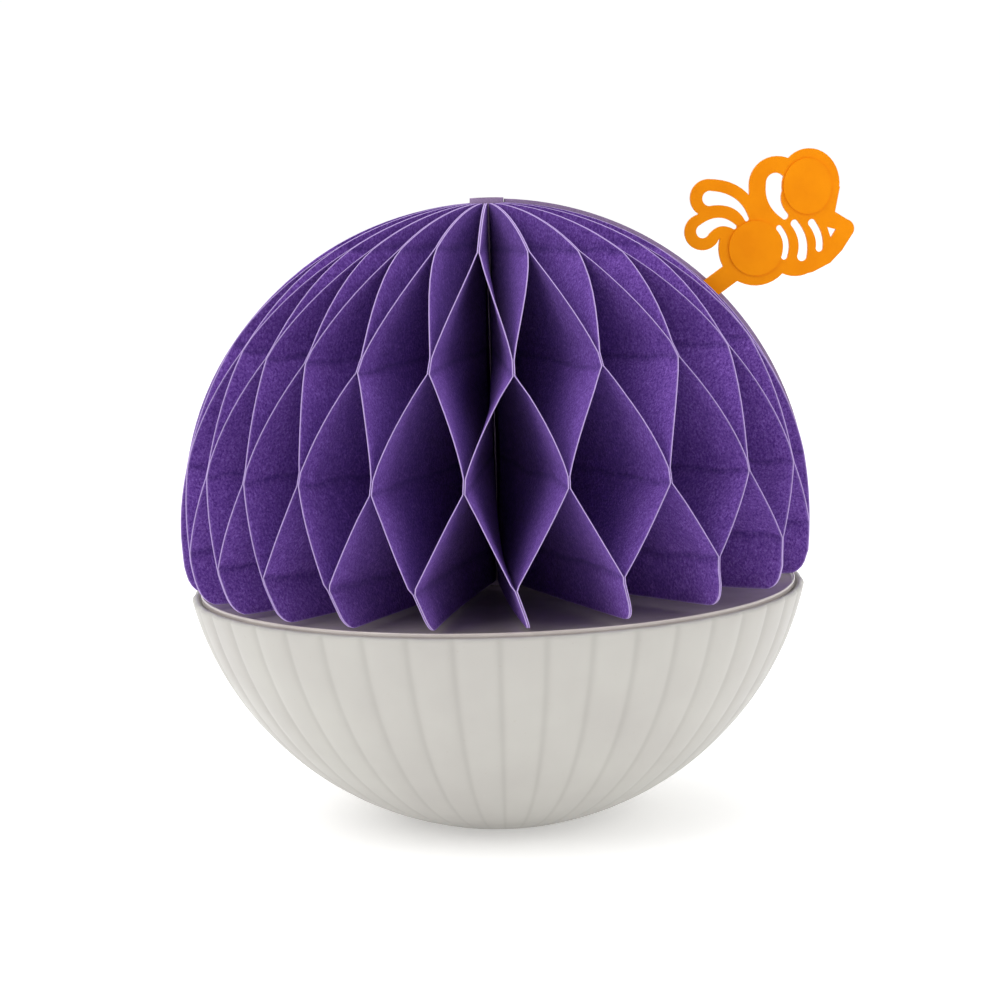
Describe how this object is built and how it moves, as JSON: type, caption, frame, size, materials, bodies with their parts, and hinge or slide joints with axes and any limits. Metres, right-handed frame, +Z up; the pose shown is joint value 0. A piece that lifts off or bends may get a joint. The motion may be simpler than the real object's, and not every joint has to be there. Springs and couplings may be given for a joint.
{
  "type": "paper honeycomb ball",
  "caption": "Pleated honeycomb paper ball on a round tray in a lobed bowl, opened from a fan of glued leaves, with a bee-shaped pick.",
  "frame": {"origin": "middle of the bowl's foot, on the surface that it stands on", "axes": "+Z up along the spine; -Y towards the front; +X to the right, where the seam and the pick are"},
  "size_m": [0.1621, 0.1494, 0.1569],
  "materials": {
    "paper": "soft absorbent felted paper, violet, with pale cut edges",
    "board": "matt grey-lavender paper board",
    "glaze": "smooth off-white glaze",
    "tray_plastic": "clear glossy plastic",
    "orange_plastic": "moulded orange plastic, satin",
    "adhesive": "thin white adhesive tape"
  },
  "bodies": {
    "bowl": {"bowl": "glaze"},
    "tray": {"tray": "tray_plastic"},
    "spine": {"spine_tube": "board", "leaf_22": "paper"},
    "cover_front": {"cover_front": "board", "closure_strip": "adhesive"},
    "cover_back": {"cover_back": "board"},
    "pick": {"bee_pick": "orange_plastic"},
    "leaf_01": {"leaf_01": "paper"},
    "leaf_02": {"leaf_02": "paper"},
    "leaf_03": {"leaf_03": "paper"},
    "leaf_04": {"leaf_04": "paper"},
    "leaf_05": {"leaf_05": "paper"},
    "leaf_06": {"leaf_06": "paper"},
    "leaf_07": {"leaf_07": "paper"},
    "leaf_08": {"leaf_08": "paper"},
    "leaf_09": {"leaf_09": "paper"},
    "leaf_10": {"leaf_10": "paper"},
    "leaf_11": {"leaf_11": "paper"},
    "leaf_12": {"leaf_12": "paper"},
    "leaf_13": {"leaf_13": "paper"},
    "leaf_14": {"leaf_14": "paper"},
    "leaf_15": {"leaf_15": "paper"},
    "leaf_16": {"leaf_16": "paper"},
    "leaf_17": {"leaf_17": "paper"},
    "leaf_18": {"leaf_18": "paper"},
    "leaf_19": {"leaf_19": "paper"},
    "leaf_20": {"leaf_20": "paper"},
    "leaf_21": {"leaf_21": "paper"},
    "leaf_23": {"leaf_23": "paper"},
    "leaf_24": {"leaf_24": "paper"},
    "leaf_25": {"leaf_25": "paper"},
    "leaf_26": {"leaf_26": "paper"},
    "leaf_27": {"leaf_27": "paper"},
    "leaf_28": {"leaf_28": "paper"},
    "leaf_29": {"leaf_29": "paper"},
    "leaf_30": {"leaf_30": "paper"},
    "leaf_31": {"leaf_31": "paper"},
    "leaf_32": {"leaf_32": "paper"},
    "leaf_33": {"leaf_33": "paper"},
    "leaf_34": {"leaf_34": "paper"},
    "leaf_35": {"leaf_35": "paper"},
    "leaf_36": {"leaf_36": "paper"},
    "leaf_37": {"leaf_37": "paper"},
    "leaf_38": {"leaf_38": "paper"},
    "leaf_39": {"leaf_39": "paper"},
    "leaf_40": {"leaf_40": "paper"},
    "leaf_41": {"leaf_41": "paper"},
    "leaf_42": {"leaf_42": "paper"},
    "leaf_43": {"leaf_43": "paper"},
    "leaf_44": {"leaf_44": "paper"}
  },
  "joints": [
    {"name": "tray_lift", "type": "slide", "parent": "bowl", "child": "tray", "axis": [0, 0, 1], "range_m": [0, 0.06]},
    {"name": "ball_lift", "type": "slide", "parent": "tray", "child": "spine", "axis": [0, 0, 1], "range_m": [0, 0.08]},
    {"name": "fan_fold", "type": "hinge", "parent": "spine", "child": "cover_front", "pos_m": [0, 0, 0.0716], "axis": [0, 0, -1], "range_deg": [0, 156.19], "deforming": ["leaf_01", "leaf_02", "leaf_03", "leaf_04", "leaf_05", "leaf_06", "leaf_07", "leaf_08", "leaf_09", "leaf_10", "leaf_11", "leaf_12", "leaf_13", "leaf_14", "leaf_15", "leaf_16", "leaf_17", "leaf_18", "leaf_19", "leaf_20", "leaf_21", "leaf_22", "leaf_23", "leaf_24", "leaf_25", "leaf_26", "leaf_27", "leaf_28", "leaf_29", "leaf_30", "leaf_31", "leaf_32", "leaf_33", "leaf_34", "leaf_35", "leaf_36", "leaf_37", "leaf_38", "leaf_39", "leaf_40", "leaf_41", "leaf_42", "leaf_43", "leaf_44"]},
    {"name": "cover_back_fold", "type": "hinge", "parent": "spine", "child": "cover_back", "pos_m": [0, 0, 0.0716], "axis": [0, 0, 1], "range_deg": [0, 163.81]},
    {"name": "leaf_01_fold", "type": "hinge", "parent": "spine", "child": "leaf_01", "pos_m": [0, 0, 0.0716], "axis": [0, 0, -1], "range_deg": [0, 152.64]},
    {"name": "leaf_02_fold", "type": "hinge", "parent": "spine", "child": "leaf_02", "pos_m": [0, 0, 0.0716], "axis": [0, 0, -1], "range_deg": [0, 145.32]},
    {"name": "leaf_03_fold", "type": "hinge", "parent": "spine", "child": "leaf_03", "pos_m": [0, 0, 0.0716], "axis": [0, 0, -1], "range_deg": [0, 137.63]},
    {"name": "leaf_04_fold", "type": "hinge", "parent": "spine", "child": "leaf_04", "pos_m": [0, 0, 0.0716], "axis": [0, 0, -1], "range_deg": [0, 129.59]},
    {"name": "leaf_05_fold", "type": "hinge", "parent": "spine", "child": "leaf_05", "pos_m": [0, 0, 0.0716], "axis": [0, 0, -1], "range_deg": [0, 121.28]},
    {"name": "leaf_06_fold", "type": "hinge", "parent": "spine", "child": "leaf_06", "pos_m": [0, 0, 0.0716], "axis": [0, 0, -1], "range_deg": [0, 112.77]},
    {"name": "leaf_07_fold", "type": "hinge", "parent": "spine", "child": "leaf_07", "pos_m": [0, 0, 0.0716], "axis": [0, 0, -1], "range_deg": [0, 104.17]},
    {"name": "leaf_08_fold", "type": "hinge", "parent": "spine", "child": "leaf_08", "pos_m": [0, 0, 0.0716], "axis": [0, 0, -1], "range_deg": [0, 95.6]},
    {"name": "leaf_09_fold", "type": "hinge", "parent": "spine", "child": "leaf_09", "pos_m": [0, 0, 0.0716], "axis": [0, 0, -1], "range_deg": [0, 87.15]},
    {"name": "leaf_10_fold", "type": "hinge", "parent": "spine", "child": "leaf_10", "pos_m": [0, 0, 0.0716], "axis": [0, 0, -1], "range_deg": [0, 78.92]},
    {"name": "leaf_11_fold", "type": "hinge", "parent": "spine", "child": "leaf_11", "pos_m": [0, 0, 0.0716], "axis": [0, 0, -1], "range_deg": [0, 70.99]},
    {"name": "leaf_12_fold", "type": "hinge", "parent": "spine", "child": "leaf_12", "pos_m": [0, 0, 0.0716], "axis": [0, 0, -1], "range_deg": [0, 63.42]},
    {"name": "leaf_13_fold", "type": "hinge", "parent": "spine", "child": "leaf_13", "pos_m": [0, 0, 0.0716], "axis": [0, 0, -1], "range_deg": [0, 56.23]},
    {"name": "leaf_14_fold", "type": "hinge", "parent": "spine", "child": "leaf_14", "pos_m": [0, 0, 0.0716], "axis": [0, 0, -1], "range_deg": [0, 49.42]},
    {"name": "leaf_15_fold", "type": "hinge", "parent": "spine", "child": "leaf_15", "pos_m": [0, 0, 0.0716], "axis": [0, 0, -1], "range_deg": [0, 42.95]},
    {"name": "leaf_16_fold", "type": "hinge", "parent": "spine", "child": "leaf_16", "pos_m": [0, 0, 0.0716], "axis": [0, 0, -1], "range_deg": [0, 36.76]},
    {"name": "leaf_17_fold", "type": "hinge", "parent": "spine", "child": "leaf_17", "pos_m": [0, 0, 0.0716], "axis": [0, 0, -1], "range_deg": [0, 30.76]},
    {"name": "leaf_18_fold", "type": "hinge", "parent": "spine", "child": "leaf_18", "pos_m": [0, 0, 0.0716], "axis": [0, 0, -1], "range_deg": [0, 24.85]},
    {"name": "leaf_19_fold", "type": "hinge", "parent": "spine", "child": "leaf_19", "pos_m": [0, 0, 0.0716], "axis": [0, 0, -1], "range_deg": [0, 18.92]},
    {"name": "leaf_20_fold", "type": "hinge", "parent": "spine", "child": "leaf_20", "pos_m": [0, 0, 0.0716], "axis": [0, 0, -1], "range_deg": [0, 12.87]},
    {"name": "leaf_21_fold", "type": "hinge", "parent": "spine", "child": "leaf_21", "pos_m": [0, 0, 0.0716], "axis": [0, 0, -1], "range_deg": [0, 6.59]},
    {"name": "leaf_23_fold", "type": "hinge", "parent": "spine", "child": "leaf_23", "pos_m": [0, 0, 0.0716], "axis": [0, 0, 1], "range_deg": [0, 6.98]},
    {"name": "leaf_24_fold", "type": "hinge", "parent": "spine", "child": "leaf_24", "pos_m": [0, 0, 0.0716], "axis": [0, 0, 1], "range_deg": [0, 14.34]},
    {"name": "leaf_25_fold", "type": "hinge", "parent": "spine", "child": "leaf_25", "pos_m": [0, 0, 0.0716], "axis": [0, 0, 1], "range_deg": [0, 22.08]},
    {"name": "leaf_26_fold", "type": "hinge", "parent": "spine", "child": "leaf_26", "pos_m": [0, 0, 0.0716], "axis": [0, 0, 1], "range_deg": [0, 30.15]},
    {"name": "leaf_27_fold", "type": "hinge", "parent": "spine", "child": "leaf_27", "pos_m": [0, 0, 0.0716], "axis": [0, 0, 1], "range_deg": [0, 38.51]},
    {"name": "leaf_28_fold", "type": "hinge", "parent": "spine", "child": "leaf_28", "pos_m": [0, 0, 0.0716], "axis": [0, 0, 1], "range_deg": [0, 47.06]},
    {"name": "leaf_29_fold", "type": "hinge", "parent": "spine", "child": "leaf_29", "pos_m": [0, 0, 0.0716], "axis": [0, 0, 1], "range_deg": [0, 55.71]},
    {"name": "leaf_30_fold", "type": "hinge", "parent": "spine", "child": "leaf_30", "pos_m": [0, 0, 0.0716], "axis": [0, 0, 1], "range_deg": [0, 64.33]},
    {"name": "leaf_31_fold", "type": "hinge", "parent": "spine", "child": "leaf_31", "pos_m": [0, 0, 0.0716], "axis": [0, 0, 1], "range_deg": [0, 72.82]},
    {"name": "leaf_32_fold", "type": "hinge", "parent": "spine", "child": "leaf_32", "pos_m": [0, 0, 0.0716], "axis": [0, 0, 1], "range_deg": [0, 81.1]},
    {"name": "leaf_33_fold", "type": "hinge", "parent": "spine", "child": "leaf_33", "pos_m": [0, 0, 0.0716], "axis": [0, 0, 1], "range_deg": [0, 89.07]},
    {"name": "leaf_34_fold", "type": "hinge", "parent": "spine", "child": "leaf_34", "pos_m": [0, 0, 0.0716], "axis": [0, 0, 1], "range_deg": [0, 96.68]},
    {"name": "leaf_35_fold", "type": "hinge", "parent": "spine", "child": "leaf_35", "pos_m": [0, 0, 0.0716], "axis": [0, 0, 1], "range_deg": [0, 103.9]},
    {"name": "leaf_36_fold", "type": "hinge", "parent": "spine", "child": "leaf_36", "pos_m": [0, 0, 0.0716], "axis": [0, 0, 1], "range_deg": [0, 110.75]},
    {"name": "leaf_37_fold", "type": "hinge", "parent": "spine", "child": "leaf_37", "pos_m": [0, 0, 0.0716], "axis": [0, 0, 1], "range_deg": [0, 117.25]},
    {"name": "leaf_38_fold", "type": "hinge", "parent": "spine", "child": "leaf_38", "pos_m": [0, 0, 0.0716], "axis": [0, 0, 1], "range_deg": [0, 123.48]},
    {"name": "leaf_39_fold", "type": "hinge", "parent": "spine", "child": "leaf_39", "pos_m": [0, 0, 0.0716], "axis": [0, 0, 1], "range_deg": [0, 129.51]},
    {"name": "leaf_40_fold", "type": "hinge", "parent": "spine", "child": "leaf_40", "pos_m": [0, 0, 0.0716], "axis": [0, 0, 1], "range_deg": [0, 135.46]},
    {"name": "leaf_41_fold", "type": "hinge", "parent": "spine", "child": "leaf_41", "pos_m": [0, 0, 0.0716], "axis": [0, 0, 1], "range_deg": [0, 141.42]},
    {"name": "leaf_42_fold", "type": "hinge", "parent": "spine", "child": "leaf_42", "pos_m": [0, 0, 0.0716], "axis": [0, 0, 1], "range_deg": [0, 147.5]},
    {"name": "leaf_43_fold", "type": "hinge", "parent": "spine", "child": "leaf_43", "pos_m": [0, 0, 0.0716], "axis": [0, 0, 1], "range_deg": [0, 153.81]},
    {"name": "leaf_44_fold", "type": "hinge", "parent": "spine", "child": "leaf_44", "pos_m": [0, 0, 0.0716], "axis": [0, 0, 1], "range_deg": [0, 160.43]},
    {"name": "pick_pull", "type": "slide", "parent": "cover_front", "child": "pick", "axis": [0.821, 0.0826, 0.565], "range_m": [0, 0.03]}
  ],
  "couplings": [
    {"joint": "cover_back_fold", "follows": "fan_fold", "ratio": 1.0488},
    {"joint": "leaf_01_fold", "follows": "fan_fold", "ratio": 0.97719},
    {"joint": "leaf_02_fold", "follows": "fan_fold", "ratio": 0.93034},
    {"joint": "leaf_03_fold", "follows": "fan_fold", "ratio": 0.88108},
    {"joint": "leaf_04_fold", "follows": "fan_fold", "ratio": 0.82963},
    {"joint": "leaf_05_fold", "follows": "fan_fold", "ratio": 0.7764},
    {"joint": "leaf_06_fold", "follows": "fan_fold", "ratio": 0.72194},
    {"joint": "leaf_07_fold", "follows": "fan_fold", "ratio": 0.66691},
    {"joint": "leaf_08_fold", "follows": "fan_fold", "ratio": 0.612},
    {"joint": "leaf_09_fold", "follows": "fan_fold", "ratio": 0.55789},
    {"joint": "leaf_10_fold", "follows": "fan_fold", "ratio": 0.50521},
    {"joint": "leaf_11_fold", "follows": "fan_fold", "ratio": 0.45446},
    {"joint": "leaf_12_fold", "follows": "fan_fold", "ratio": 0.40599},
    {"joint": "leaf_13_fold", "follows": "fan_fold", "ratio": 0.35997},
    {"joint": "leaf_14_fold", "follows": "fan_fold", "ratio": 0.31637},
    {"joint": "leaf_15_fold", "follows": "fan_fold", "ratio": 0.27494},
    {"joint": "leaf_16_fold", "follows": "fan_fold", "ratio": 0.2353},
    {"joint": "leaf_17_fold", "follows": "fan_fold", "ratio": 0.19688},
    {"joint": "leaf_18_fold", "follows": "fan_fold", "ratio": 0.15904},
    {"joint": "leaf_19_fold", "follows": "fan_fold", "ratio": 0.12108},
    {"joint": "leaf_20_fold", "follows": "fan_fold", "ratio": 0.082315},
    {"joint": "leaf_21_fold", "follows": "fan_fold", "ratio": 0.042124},
    {"joint": "leaf_23_fold", "follows": "fan_fold", "ratio": 0.044644},
    {"joint": "leaf_24_fold", "follows": "fan_fold", "ratio": 0.091747},
    {"joint": "leaf_25_fold", "follows": "fan_fold", "ratio": 0.14128},
    {"joint": "leaf_26_fold", "follows": "fan_fold", "ratio": 0.193},
    {"joint": "leaf_27_fold", "follows": "fan_fold", "ratio": 0.24651},
    {"joint": "leaf_28_fold", "follows": "fan_fold", "ratio": 0.30126},
    {"joint": "leaf_29_fold", "follows": "fan_fold", "ratio": 0.35659},
    {"joint": "leaf_30_fold", "follows": "fan_fold", "ratio": 0.4118},
    {"joint": "leaf_31_fold", "follows": "fan_fold", "ratio": 0.46619},
    {"joint": "leaf_32_fold", "follows": "fan_fold", "ratio": 0.51916},
    {"joint": "leaf_33_fold", "follows": "fan_fold", "ratio": 0.57018},
    {"joint": "leaf_34_fold", "follows": "fan_fold", "ratio": 0.6189},
    {"joint": "leaf_35_fold", "follows": "fan_fold", "ratio": 0.66517},
    {"joint": "leaf_36_fold", "follows": "fan_fold", "ratio": 0.70901},
    {"joint": "leaf_37_fold", "follows": "fan_fold", "ratio": 0.75066},
    {"joint": "leaf_38_fold", "follows": "fan_fold", "ratio": 0.79051},
    {"joint": "leaf_39_fold", "follows": "fan_fold", "ratio": 0.82914},
    {"joint": "leaf_40_fold", "follows": "fan_fold", "ratio": 0.86718},
    {"joint": "leaf_41_fold", "follows": "fan_fold", "ratio": 0.90534},
    {"joint": "leaf_42_fold", "follows": "fan_fold", "ratio": 0.94432},
    {"joint": "leaf_43_fold", "follows": "fan_fold", "ratio": 0.98472},
    {"joint": "leaf_44_fold", "follows": "fan_fold", "ratio": 1.0271}
  ]
}
